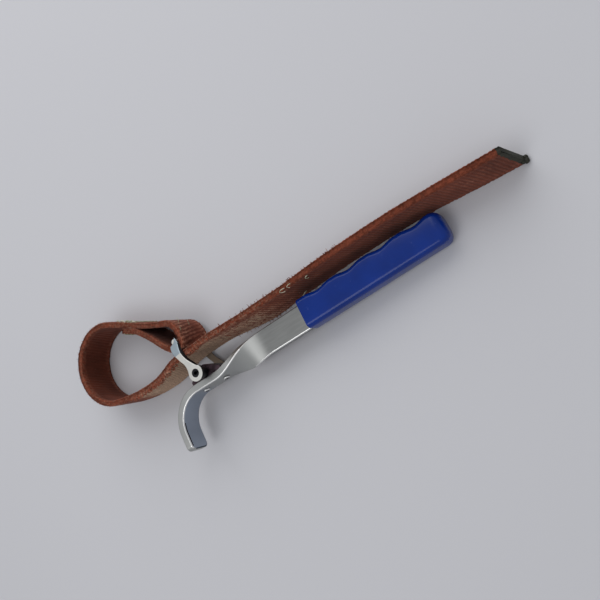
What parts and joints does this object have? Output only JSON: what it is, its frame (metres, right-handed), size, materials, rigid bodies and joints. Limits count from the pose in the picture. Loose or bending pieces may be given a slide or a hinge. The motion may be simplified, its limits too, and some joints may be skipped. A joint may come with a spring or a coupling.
{
  "type": "strap wrench",
  "caption": "Strap wrench: hooked steel lever with a moulded grip, a pivoting shackle and a woven strap forming a round work loop.",
  "frame": {"origin": "centre of the round work loop, on the surface that the tool lies on", "axes": "+Z along the axis of the work loop, up from the surface; +X along the lever towards the grip and the free end of the strap; +Y away from the hooked foot"},
  "size_m": [0.3539, 0.1212, 0.0375],
  "materials": {
    "forged_steel": "satin plated forging",
    "plated_steel": "bright plated plate",
    "rivet_steel": "worn rivet head",
    "lug_steel": "dark brazed steel",
    "black_steel": "black oxide",
    "blue_vinyl": "gloss moulded vinyl",
    "webbing": "coarse woven webbing, worn",
    "thread": "sewing thread",
    "sealed_end": "dipped and sealed webbing"
  },
  "bodies": {
    "lever": {"lever_bar": "forged_steel", "handle_grip": "blue_vinyl", "pivot_lug": "lug_steel", "front_rivet": "rivet_steel", "rear_rivet": "rivet_steel"},
    "shackle": {"upper_cheek": "plated_steel", "lower_cheek": "plated_steel", "crossbar": "plated_steel", "pivot_pin": "black_steel", "upper_spacer": "black_steel", "lower_spacer": "black_steel"},
    "loop": {"strap_loop": "webbing", "eye_stitching": "thread"},
    "tail": {"strap_tail": "webbing", "strap_end_seal": "sealed_end"}
  },
  "joints": [
    {"name": "shackle_pivot", "type": "hinge", "parent": "lever", "child": "shackle", "pos_m": [0.077, -0.0468, 0.01859], "axis": [0.0556, 0, 0.9985], "range_deg": [-0.4, 26]},
    {"name": "strap_swing", "type": "hinge", "parent": "shackle", "child": "loop", "pos_m": [0.06971, -0.0192, 0.019], "axis": [0.0556, 0, 0.9985], "range_deg": [-0.4, 6]},
    {"name": "strap_pull", "type": "slide", "parent": "loop", "child": "tail", "axis": [0.9992, -0.0403, 0], "range_m": [0, 0.02]}
  ]
}
